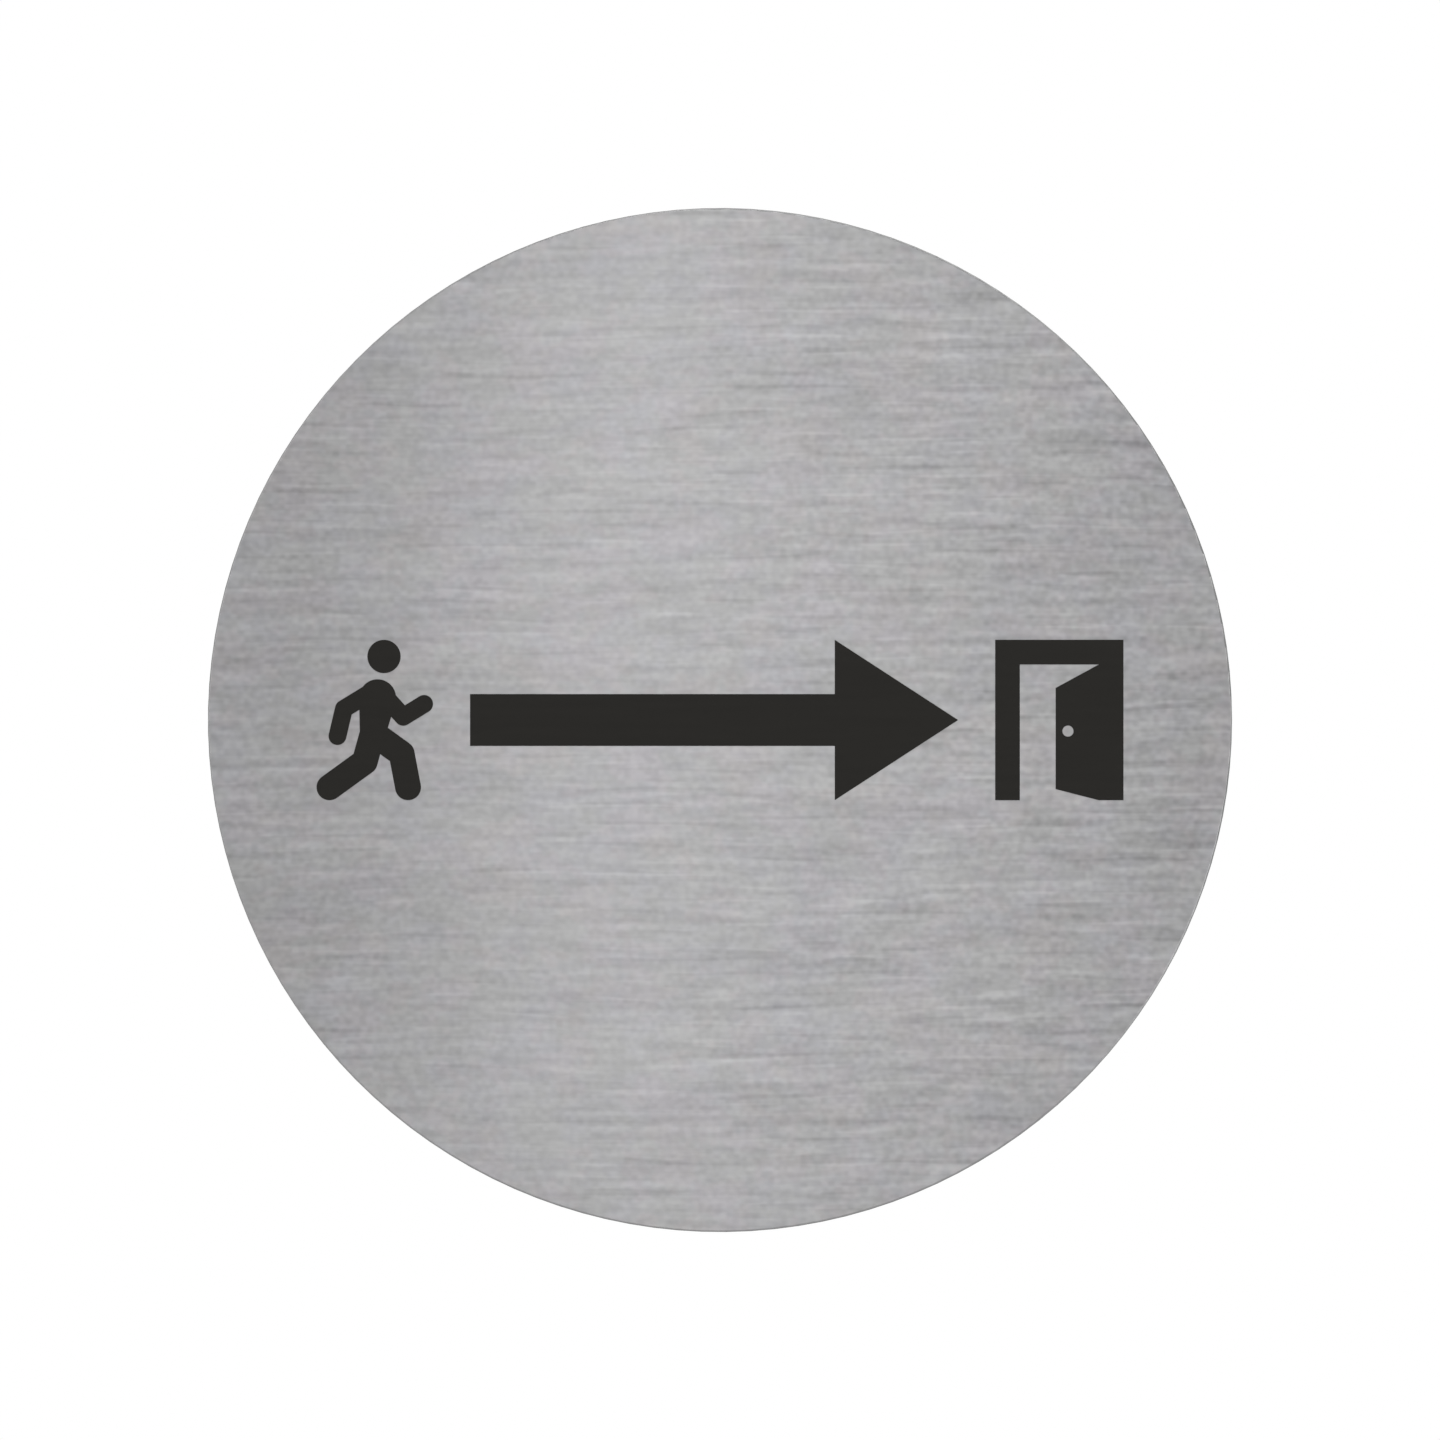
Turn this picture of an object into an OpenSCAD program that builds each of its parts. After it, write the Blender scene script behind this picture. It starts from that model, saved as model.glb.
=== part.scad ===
// Round stick-on exit sign for a door: a brushed metal disc with a black printed symbol on its
// front and a round pad of double-sided foam tape on its back.
//
// Frame, in millimetres: the origin is the centre of the pad's back face, which goes against
// the door. +Y points into the door, so the printed front faces -Y. +X is to the right for
// someone reading the sign, and +Z is up.

/* [Plate] */
// Diameter of the metal disc
plate_d = 83; // [70:1:150]
// Thickness of the sheet that the disc is punched from
plate_t = 1; // [0.6:0.1:3]
// Radius of the rounded edge that punching leaves round the front
front_edge_r = 0.15; // [0.05:0.05:0.3]
// Width of the small bevel that deburring leaves round the back
back_bevel = 0.08; // [0.02:0.02:0.2]

/* [Adhesive pad] */
// How far the foam pad stays inside the disc's rim, so that it can't be seen from the front
pad_inset = 3; // [1:0.5:12]
// Thickness of the double-sided foam tape
pad_t = 1; // [0.5:0.1:2]

/* [Symbol] */
// Bare metal left between each end of the symbol and the disc's rim
symbol_margin = 8.8; // [7:0.2:12]
// Height of the symbol
symbol_h = 13; // [11:0.5:18]
// Space between the walker, the arrow and the doorway
symbol_gap = 3; // [1.5:0.1:5]
// Thickness of the printed ink film
ink_t = 0.05; // [0.03:0.01:0.2]

/* [Arrow] */
// Thickness of the arrow's shaft
arrow_shaft_t = 4.2; // [2:0.1:6]
// Length of the arrow's head
arrow_head_l = 10; // [6:0.5:14]

/* [Doorway] */
// Width of the doorway over its frame
door_w = 10.4; // [9:0.2:14]
// Width of the bars that draw the door frame
frame_w = 2; // [1:0.1:2.4]
// Clear opening between the free jamb and the open leaf
opening_w = 2.9; // [1.5:0.1:3.4]
// How much lower than the lintel the leaf's far corner is drawn
leaf_drop = 1.9; // [0.5:0.1:3]
// How much higher than the floor the leaf's far corner is drawn
leaf_rise = 0.9; // [0.2:0.1:2]
// Diameter of the bare spot that draws the door knob
knob_d = 0.9; // [0.5:0.1:1.2]
// Distance of the knob's centre from the leaf's free edge
knob_inset = 1; // [0.8:0.1:1.4]

/* [Walker] */
// Diameter of the head
walker_head_d = 2.7; // [2:0.1:3.2]
// Bare gap between the head and the shoulders
neck_gap = 0.5; // [0.3:0.05:0.8]
// Breadth of the trunk at the shoulders
shoulders_t = 3; // [2.4:0.1:3.4]
// Breadth of the trunk at the hips
hips_t = 2.1; // [1.8:0.1:2.4]
// Thickness of the legs
leg_t = 2.1; // [1.2:0.1:2.4]
// Thickness of the arms
arm_t = 1.45; // [0.9:0.05:1.7]

/* [Hidden] */
$fn = 96;

plate_r = plate_d / 2;
pad_r = plate_r - pad_inset;
symbol_w = plate_d - 2 * symbol_margin;

// Depths along Y, from the door outwards
plate_back_y = -pad_t;
plate_front_y = plate_back_y - plate_t;

// The walker is drawn on a grid that has this many steps to its height
walker_grid = 100;
// Its joints as [across, up] in steps, from the ground under its hips
head_x = 7;
shoulders_x = 3;
hips = [0, 42];
front_elbow = [19, 52];
front_hand = [32, 60];
back_elbow = [-18, 57];
back_hand = [-22, 40];
front_knee = [18, 29];
back_knee = [-5, 24];
front_foot_x = 22;
back_foot_x = -27;

function on_grid(steps) = steps * symbol_h / walker_grid;
function foot(x) = [on_grid(x), leg_t / 2];

walker_back_x = foot(back_foot_x).x - leg_t / 2;
walker_front_x = on_grid(front_hand).x + arm_t / 2;
walker_w = walker_front_x - walker_back_x;
arrow_l = symbol_w - walker_w - door_w - 2 * symbol_gap;

// Stands a flat shape drawn as [across, up] upright and gives it depth, from y towards the reader
module stand_up(y, depth) {
    translate([0, y, 0])
        rotate([90, 0, 0])
            linear_extrude(depth)
                children();
}

// A stroke with round ends from one point to another, which may taper between two thicknesses
module stroke(from, to, from_t, to_t) {
    run = to - from;
    side = acos((from_t - to_t) / 2 / norm(run));
    from_side = from_t / 2 * [cos(side), sin(side)];
    to_side = to_t / 2 * [cos(side), sin(side)];
    translate(from)
        rotate(atan2(run.y, run.x)) {
            circle(d = from_t);
            translate([norm(run), 0]) circle(d = to_t);
            polygon([
                from_side,
                [from_side.x, -from_side.y],
                [norm(run) + to_side.x, -to_side.y],
                [norm(run) + to_side.x, to_side.y]
            ]);
        }
}

// A limb is two strokes that meet at its elbow or knee
module limb(from, middle, to, thickness) {
    stroke(from, middle, thickness, thickness);
    stroke(middle, to, thickness, thickness);
}

// Walking figure, facing right, with its feet on the line y = 0
module walker_shape() {
    head_at = [on_grid(head_x), symbol_h - walker_head_d / 2];
    shoulders_at = [on_grid(shoulders_x), symbol_h - walker_head_d - neck_gap - shoulders_t / 2];
    hips_at = on_grid(hips);
    arm_from = shoulders_at + [0, (shoulders_t - arm_t) / 2];
    translate(head_at) circle(d = walker_head_d);
    stroke(shoulders_at, hips_at, shoulders_t, hips_t);
    limb(arm_from, on_grid(front_elbow), on_grid(front_hand), arm_t);
    limb(arm_from, on_grid(back_elbow), on_grid(back_hand), arm_t);
    limb(hips_at, on_grid(front_knee), foot(front_foot_x), leg_t);
    limb(hips_at, on_grid(back_knee), foot(back_foot_x), leg_t);
}

// Arrow that points right, with its tail at x = 0 and its axis on y = 0
module arrow_shape() {
    shaft_l = arrow_l - arrow_head_l;
    polygon([
        [0, -arrow_shaft_t / 2],
        [shaft_l, -arrow_shaft_t / 2],
        [shaft_l, -symbol_h / 2],
        [arrow_l, 0],
        [shaft_l, symbol_h / 2],
        [shaft_l, arrow_shaft_t / 2],
        [0, arrow_shaft_t / 2]
    ]);
}

// Door frame with its leaf standing open, hinged on the far jamb
module doorway_shape() {
    hinge_x = door_w - frame_w;
    free_x = frame_w + opening_w;
    difference() {
        square([door_w, symbol_h]);
        polygon([
            [frame_w, 0],
            [frame_w, symbol_h - frame_w],
            [hinge_x, symbol_h - frame_w],
            [free_x, symbol_h - frame_w - leaf_drop],
            [free_x, leaf_rise],
            [hinge_x, 0]
        ]);
        translate([free_x + knob_inset, symbol_h / 2 - knob_d]) circle(d = knob_d);
    }
}

module symbol_shape() {
    arrow_x = walker_w + symbol_gap;
    translate([-symbol_w / 2, -symbol_h / 2]) {
        translate([-walker_back_x, 0]) walker_shape();
        translate([arrow_x, symbol_h / 2]) arrow_shape();
        translate([symbol_w - door_w, 0]) doorway_shape();
    }
}

// Half section of the disc: its back face on y = 0 and its front edge rounded
module plate_section() {
    edge_r = min(front_edge_r, plate_t / 2);
    polygon([
        [0, 0],
        [plate_r - back_bevel, 0],
        [plate_r, back_bevel],
        [plate_r, plate_t - edge_r],
        [plate_r - edge_r, plate_t],
        [0, plate_t]
    ]);
    translate([plate_r - edge_r, plate_t - edge_r]) circle(edge_r);
}

// Punched disc of brushed sheet
module sign_plate() {
    color("silver")
        translate([0, plate_back_y, 0])
            rotate([90, 0, 0])
                rotate_extrude()
                    plate_section();
}

// Black ink printed on the disc
module exit_symbol() {
    color([0.17, 0.165, 0.16])
        stand_up(plate_front_y, ink_t)
            symbol_shape();
}

// Die-cut pad of double-sided foam tape
module adhesive_pad() {
    color("gainsboro")
        stand_up(0, pad_t)
            circle(pad_r);
}

sign_plate();
exit_symbol();
adhesive_pad();
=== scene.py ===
# Looks of a round stick-on exit sign: brushed metal disc, black printed symbol, foam tape pad.
#
# Everything is in metres in the sign's own frame: the printed front faces -Y, +Z is up, and the
# back of the pad, which goes against the door, lies in the plane y = 0. Only the patterns in the
# materials are laid out in millimetres.

import math

import bpy
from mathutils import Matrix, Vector


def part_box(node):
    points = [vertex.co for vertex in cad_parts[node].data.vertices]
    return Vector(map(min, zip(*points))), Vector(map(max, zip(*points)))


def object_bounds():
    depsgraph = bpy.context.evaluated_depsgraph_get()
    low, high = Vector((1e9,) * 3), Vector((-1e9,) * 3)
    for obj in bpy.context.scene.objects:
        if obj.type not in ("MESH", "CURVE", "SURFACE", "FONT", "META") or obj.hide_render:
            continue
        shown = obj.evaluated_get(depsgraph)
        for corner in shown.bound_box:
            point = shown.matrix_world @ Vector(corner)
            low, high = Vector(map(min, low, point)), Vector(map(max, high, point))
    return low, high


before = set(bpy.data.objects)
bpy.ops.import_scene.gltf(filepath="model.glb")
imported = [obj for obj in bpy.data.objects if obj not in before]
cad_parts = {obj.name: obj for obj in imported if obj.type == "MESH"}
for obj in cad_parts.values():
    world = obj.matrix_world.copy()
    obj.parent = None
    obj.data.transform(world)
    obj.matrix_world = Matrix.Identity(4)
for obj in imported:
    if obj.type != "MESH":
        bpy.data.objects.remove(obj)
cad_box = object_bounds()

# What the photograph shows, in its own pixels
PHOTO_SIDE = 1440
DISC_PIXELS = 1024

# Sizes read from the frame
plate_low, plate_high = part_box("sign_plate")
PLATE_D = plate_high.x - plate_low.x
PLATE_FRONT_Y = plate_low.y
CENTRE = Vector((0, (cad_box[0].y + cad_box[1].y) / 2, (plate_low.z + plate_high.z) / 2))
FLOOR_Z = cad_box[0].z

MM = 1000.0  # millimetres in a metre
WHITE = (1.0, 1.0, 1.0, 1.0)

# The part of a noise texture's range that it mostly stays in, and how far apart, in blobs, two
# noises lie whose seeds are one apart
NOISE_RANGE = (0.2, 0.8)
SEED_STEP = (17.3, 5.1, 11.7)

# Brushed metal: its grey, its roughness on the faces, how far its gloss is stretched along one
# direction, and the depth of its relief in metres
METAL_GREY = 0.30
FACE_ROUGHNESS = 0.3
GLOSS_STRETCH = 0.9
METAL_RELIEF = 6e-6
# Its cut rim: the grey as a share of that of the faces, the roughness, and the fine marks, with
# their size and their share of the grey and of the relief
RIM_SHADE = 0.93
RIM_ROUGHNESS = 0.5
CUT_MARK_CELL = (0.14, 2.5, 0.14)
CUT_MARK_SHADE = 0.05
CUT_MARK_RELIEF = 0.5
# How squarely the surface faces the front or the back where the rim ends and where the face begins
RIM_TO_FACE = (0.8, 0.98)
# Length, width and strength of each layer of brushing, in millimetres and as a share of the grey.
# The first is a short grain, the others are streaks, and one of them also stands out in relief.
BRUSH_LAYERS = [
    (0.55, 0.45, 0.072),
    (2.4, 0.60, 0.046),
    (7.0, 0.66, 0.064),
    (22.0, 0.75, 0.049),
    (30.0, 2.6, 0.009),
]
RAISED_LAYER = 2
# Length and width of the dark and of the pale scratches, the noise at which they start, and the
# most that they add to the grey
SCRATCHES = [
    (7.0, 0.55, 0.35, -0.12),
    (6.0, 0.50, 0.40, 0.10),
]
# The bends of the streaks, and how far these carry them up and down, in millimetres
BEND_CELL = (30, 30, 24)
STREAK_WANDER = 0.27
# The grain, and the streaks with the scratches, are each faintest at one x and stronger to both
# sides: that x, how far the rise goes, in millimetres, and the least and the most. This is painted
# light: the brushing is painted fainter where the sheen band lies, a little left of the middle, as
# the sheen's light washes it out there.
GRAIN_SHEEN_WASHOUT = (-9.0, 45.0, 0.82, 1.45)
STREAK_SHEEN_WASHOUT = (-17.0, 40.0, 0.68, 1.14)
# Soft clouds, with their share of the grey and what they add to the roughness
CLOUD_CELL = (16, 16, 11)
CLOUD_SHADE = 0.014
CLOUD_ROUGHNESS = 0.02
# Patches of tint: their size, how ragged they are, the noise at which each tint starts and is
# full, the most red and blue, and the shares of the red patches and of its own noise in the blue
TINT_PATCH = (6.4, 6.4, 5.2)
TINT_RAGGEDNESS = 0.8
RED_RANGE = (-0.04, 0.16)
BLUE_RANGE = (-0.31, 0.39)
MOST_RED = 1.026
MOST_BLUE = 1.039
BLUE_SHARES = (0.29, 0.957)

# Printed ink: its roughness follows its fine grain, and both its colour and its relief, whose depth
# is in metres, have the grain and faint streaks in them
INK_COLOUR = (0.0133, 0.0124, 0.0108)
INK_ROUGHNESS = (0.5, 0.6)
INK_GLOSS = 0.11
INK_RELIEF = 1e-6
INK_GRAIN_CELL = (0.25, 0.25, 0.25)
INK_STREAK_CELL = (7, 7, 0.6)
INK_GRAIN_SHADE = 0.05
INK_STREAK_SHADE = 0.05
INK_STREAK_RELIEF = 0.8

# Foam tape: its cells and clouds, the depth of its relief in metres and what is left of that on the
# skin, and how squarely the surface faces front or back where the cut edge ends and the skin begins
FOAM_COLOUR = (0.78, 0.775, 0.75)
FOAM_CELLS_PER_MM = 4.5
FOAM_CELL_SHADE = -0.12
FOAM_CLOUD_CELL = (9, 9, 9)
FOAM_CLOUD_SHADE = 0.02
FOAM_RELIEF = 6e-5
SKIN_RELIEF = 0.15
CUT_ROUGHNESS = 0.85
SKIN_ROUGHNESS = 0.42
CUT_TO_SKIN = (0.6, 0.9)

FLOOR_COLOUR = (0.74, 0.74, 0.74, 1.0)
FLOOR_ROUGHNESS = 0.9
FLOOR_GLOSS = 0.1
FLOOR_SIDE = 6.0

# Light that the white surroundings give, next to the white that the camera sees
AMBIENT = 0.7
# Name, place, width, height and watts. The first two are near and narrow: mirrored in the brushing,
# they make the soft upright band of light that is brightest a little left of the middle.
LAMPS = [
    ("sheen_lamp", (-0.010, -0.22, 0.014), 0.020, 0.110, 0.0092),
    ("side_sheen_lamp", (0.015, -0.22, 0.014), 0.030, 0.110, 0.0068),
    ("left_lamp", (-0.75, -0.75, 0.35), 0.5, 1.1, 2.5),
    ("right_lamp", (0.80, -0.70, 0.35), 0.5, 1.1, 3.0),
    ("front_lamp", (0.0, -0.9, 1.2), 0.8, 0.5, 5.0),
    ("back_lamp", (0.5, 0.8, 1.2), 0.8, 0.8, 4.5),
]
CAMERA_DISTANCE = 0.6


class Graph:
    """A material's or world's nodes, with a short call for each kind that is used here."""

    def __init__(self, tree):
        self.tree = tree
        tree.nodes.clear()

    def add(self, kind, inputs=None, **settings):
        node = self.tree.nodes.new(kind)
        for name, value in settings.items():
            setattr(node, name, value)
        self.fill(node, inputs or {})
        return node

    def fill(self, node, inputs):
        """Links each input to another node's output, or sets it to a number, vector or colour."""
        for name, value in inputs.items():
            if isinstance(value, bpy.types.NodeSocket):
                self.tree.links.new(value, node.inputs[name])
            else:
                node.inputs[name].default_value = value

    def math(self, operation, a, b=0.0):
        return self.add("ShaderNodeMath", {0: a, 1: b}, operation=operation).outputs[0]

    def times(self, a, b):
        return self.math("MULTIPLY", a, b)

    def total(self, *terms):
        result = terms[0]
        for term in terms[1:]:
            result = self.math("ADD", result, term)
        return result

    def mix(self, share, a, b):
        """a where share is 0, and b where it is 1."""
        return self.add("ShaderNodeMix", {0: share, 2: a, 3: b}, data_type="FLOAT").outputs[0]

    def span(self, value, low, high, to_low=0.0, to_high=1.0):
        """Carries low to high over to to_low to to_high, and holds what lies past them."""
        inputs = {0: value, 1: low, 2: high, 3: to_low, 4: to_high}
        return self.add("ShaderNodeMapRange", inputs).outputs[0]

    def scale(self, vector, factor):
        inputs = {0: vector, "Scale": factor}
        return self.add("ShaderNodeVectorMath", inputs, operation="SCALE").outputs[0]

    def part(self, vector, axis):
        return self.add("ShaderNodeSeparateXYZ", {0: vector}).outputs[axis]

    def point(self):
        """The surface point in the sign's own frame, in millimetres."""
        return self.scale(self.add("ShaderNodeTexCoord").outputs["Object"], MM)

    def flatness(self, low, high):
        """1 on the front and back faces, and 0 on the edges round them."""
        facing = self.add("ShaderNodeTexCoord").outputs["Normal"]
        return self.span(self.math("ABSOLUTE", self.part(facing, "Y")), low, high)

    def noise(self, point, cell, seed, detail=0.0, roughness=0.5):
        """Soft noise about zero, mostly from -1 to 1. cell is the size of its blobs."""
        sizes = tuple(1 / side for side in cell)
        shift = tuple(seed * step for step in SEED_STEP)
        inputs = {"Vector": point, "Location": shift, "Scale": sizes}
        place = self.add("ShaderNodeMapping", inputs).outputs[0]
        inputs = {"Vector": place, "Scale": 1.0, "Detail": detail, "Roughness": roughness}
        texture = self.add("ShaderNodeTexNoise", inputs, noise_dimensions="3D")
        return self.span(texture.outputs["Fac"], *NOISE_RANGE, -1.0, 1.0)

    def ray(self, *kinds):
        """1 for light paths of these kinds, and 0 for all others."""
        paths = self.add("ShaderNodeLightPath").outputs
        result = paths[kinds[0]]
        for kind in kinds[1:]:
            result = self.math("MAXIMUM", result, paths[kind])
        return result

    def fade(self, point, x, reach, least, most):
        """least at that x, and from there up to most within reach to either side."""
        aside = self.math("ABSOLUTE", self.math("SUBTRACT", self.part(point, "X"), x))
        return self.span(aside, 0.0, reach, least, most)

    def bump(self, height, relief):
        """The normal of a surface that rises by height times relief, in metres."""
        inputs = {"Height": height, "Strength": 1.0, "Distance": relief}
        return self.add("ShaderNodeBump", inputs).outputs[0]


def bare_material(name):
    """The material of that name, the frame's own where it has one, with only a shader in it."""
    material = bpy.data.materials.get(name) or bpy.data.materials.new(name)
    material.use_nodes = True
    g = Graph(material.node_tree)
    shader = g.add("ShaderNodeBsdfPrincipled")
    g.add("ShaderNodeOutputMaterial", {"Surface": shader.outputs[0]})
    return material, g, shader


def brushed_metal():
    """Sheet brushed from side to side: soft streaks over a short grain, with a slight tint."""
    material, g, shader = bare_material("brushed_metal")
    point = g.point()

    wander = g.times(g.noise(point, BEND_CELL, seed=1), STREAK_WANDER)
    place = {
        "X": g.part(point, "X"),
        "Y": g.part(point, "Y"),
        "Z": g.total(g.part(point, "Z"), wander),
    }
    bent = g.add("ShaderNodeCombineXYZ", place).outputs[0]
    layers = [
        g.noise(bent, (length, length, width), seed=seed)
        for seed, (length, width, strength) in enumerate(BRUSH_LAYERS, start=2)
    ]
    strengths = [strength for length, width, strength in BRUSH_LAYERS]
    grain, *streaks = map(g.times, layers, strengths)
    scratches = [
        g.span(g.noise(bent, (length, length, width), seed=seed), start, 1.0, 0.0, most)
        for seed, (length, width, start, most) in enumerate(SCRATCHES, start=21)
    ]
    lines = g.total(*streaks, *scratches)
    cloud = g.noise(point, CLOUD_CELL, seed=23, detail=1)
    # The grain and the lines are painted fainter under the sheen band, as its light washes them out
    brushing = g.total(
        g.times(grain, g.fade(point, *GRAIN_SHEEN_WASHOUT)),
        g.times(lines, g.fade(point, *STREAK_SHEEN_WASHOUT)),
        g.times(cloud, CLOUD_SHADE),
        1.0,
    )

    # The cut rim and its corners are duller, with fine marks from front to back
    face = g.flatness(*RIM_TO_FACE)
    cut_marks = g.noise(point, CUT_MARK_CELL, seed=27, detail=1)
    rim = g.total(g.times(cut_marks, CUT_MARK_SHADE), RIM_SHADE)
    level = g.mix(face, rim, brushing)

    # Small patches of the faces lean to rose, to blue or to both, and the rest is neutral
    rose, sky = [
        g.noise(bent, TINT_PATCH, seed=seed, detail=3, roughness=TINT_RAGGEDNESS)
        for seed in (24, 25)
    ]
    red_lean = g.span(rose, *RED_RANGE, 1.0, MOST_RED)
    both = g.total(*map(g.times, (rose, sky), BLUE_SHARES))
    blue_lean = g.span(both, *BLUE_RANGE, 1.0, MOST_BLUE)
    green = g.times(level, METAL_GREY)
    red = g.times(green, g.mix(face, 1.0, red_lean))
    blue = g.times(green, g.mix(face, 1.0, blue_lean))
    colour = g.add("ShaderNodeCombineColor", {"Red": red, "Green": green, "Blue": blue})

    # Brushing spreads light up and down, so the stretch of the gloss is upright
    upright = g.add("ShaderNodeTangent", direction_type="RADIAL", axis="X")
    face_roughness = g.total(g.times(cloud, CLOUD_ROUGHNESS), FACE_ROUGHNESS)
    height = g.mix(face, g.times(cut_marks, CUT_MARK_RELIEF), layers[RAISED_LAYER])
    looks = {
        "Base Color": colour.outputs[0],
        "Metallic": 1.0,
        "Roughness": g.mix(face, RIM_ROUGHNESS, face_roughness),
        "Anisotropic": GLOSS_STRETCH,
        "Tangent": upright.outputs[0],
        "Normal": g.bump(height, METAL_RELIEF),
    }
    g.fill(shader, looks)
    return material


def printed_ink():
    """Near-black screen ink, dull, with the faint grain of the metal under it."""
    material, g, shader = bare_material("black_ink")
    point = g.point()
    grain = g.noise(point, INK_GRAIN_CELL, seed=21, detail=2)
    streak = g.noise(point, INK_STREAK_CELL, seed=22)
    level = g.total(g.times(grain, INK_GRAIN_SHADE), g.times(streak, INK_STREAK_SHADE), 1.0)
    height = g.total(grain, g.times(streak, INK_STREAK_RELIEF))
    looks = {
        "Base Color": g.scale(INK_COLOUR, level),
        "Roughness": g.span(grain, -1.0, 1.0, *INK_ROUGHNESS),
        "Specular IOR Level": INK_GLOSS,
        "Normal": g.bump(height, INK_RELIEF),
    }
    g.fill(shader, looks)
    return material


def foam_tape():
    """White foam with a smooth glued skin on its faces and cut cells round its edge."""
    material, g, shader = bare_material("foam_tape")
    point = g.point()
    pattern = {"Vector": point, "Scale": FOAM_CELLS_PER_MM}
    cells = g.add("ShaderNodeTexVoronoi", pattern, feature="F1").outputs["Distance"]
    cloud = g.noise(point, FOAM_CLOUD_CELL, seed=31, detail=2)
    skin = g.flatness(*CUT_TO_SKIN)
    level = g.total(g.times(cells, FOAM_CELL_SHADE), g.times(cloud, FOAM_CLOUD_SHADE), 1.0)
    height = g.times(cells, g.mix(skin, 1.0, SKIN_RELIEF))
    looks = {
        "Base Color": g.scale(FOAM_COLOUR, level),
        "Roughness": g.mix(skin, CUT_ROUGHNESS, SKIN_ROUGHNESS),
        "Normal": g.bump(height, FOAM_RELIEF),
    }
    g.fill(shader, looks)
    return material


def pale_floor():
    """Pale, with the sign's shadow on it, and white in reflections, as the surroundings are."""
    bpy.ops.mesh.primitive_plane_add(size=FLOOR_SIDE, location=(0, 0, FLOOR_Z))
    floor = bpy.context.object
    floor.name = "floor"
    material, g, shader = bare_material("pale_floor")
    looks = {
        "Base Color": FLOOR_COLOUR,
        "Roughness": FLOOR_ROUGHNESS,
        "Specular IOR Level": FLOOR_GLOSS,
    }
    g.fill(shader, looks)
    white = g.add("ShaderNodeEmission", {"Color": WHITE, "Strength": 1.0})
    mirrored = g.ray("Is Glossy Ray", "Is Transmission Ray")
    inputs = {0: mirrored, 1: shader.outputs[0], 2: white.outputs[0]}
    surface = g.add("ShaderNodeMixShader", inputs).outputs[0]
    g.fill(material.node_tree.get_output_node("ALL"), {"Surface": surface})
    floor.data.materials.append(material)


def white_world():
    """White to the camera and in reflections, and a softer light on everything else."""
    world = bpy.data.worlds.new("white_world")
    bpy.context.scene.world = world
    world.use_nodes = True
    g = Graph(world.node_tree)
    seen = g.ray("Is Camera Ray", "Is Glossy Ray", "Is Transmission Ray")
    inputs = {"Color": WHITE, "Strength": g.mix(seen, AMBIENT, 1.0)}
    background = g.add("ShaderNodeBackground", inputs)
    g.add("ShaderNodeOutputWorld", {"Surface": background.outputs[0]})


def soft_lamp(name, place, width, height, watts):
    """A rectangular lamp that faces the sign's centre."""
    lamp = bpy.data.objects.new(name, bpy.data.lights.new(name, "AREA"))
    bpy.context.scene.collection.objects.link(lamp)
    lamp.data.shape = "RECTANGLE"
    lamp.data.size = width
    lamp.data.size_y = height
    lamp.data.energy = watts
    lamp.location = place
    lamp.rotation_euler = (CENTRE - Vector(place)).to_track_quat("-Z", "Y").to_euler()
    lamp.visible_camera = False


def front_camera():
    """Flat view of the sign's front, framed as in the photograph."""
    camera = bpy.data.objects.new("camera", bpy.data.cameras.new("camera"))
    bpy.context.scene.collection.objects.link(camera)
    bpy.context.scene.camera = camera
    camera.data.type = "ORTHO"
    camera.data.ortho_scale = PLATE_D * PHOTO_SIDE / DISC_PIXELS
    camera.location = (CENTRE.x, PLATE_FRONT_Y - CAMERA_DISTANCE, CENTRE.z)
    camera.rotation_euler = (math.radians(90), 0, 0)


for node, make in {
    "sign_plate": brushed_metal,
    "exit_symbol": printed_ink,
    "adhesive_pad": foam_tape,
}.items():
    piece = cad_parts[node]
    piece.data.materials.clear()
    piece.data.materials.append(make())

white_world()
pale_floor()
for lamp in LAMPS:
    soft_lamp(*lamp)
front_camera()
bpy.context.scene.view_settings.view_transform = "Standard"
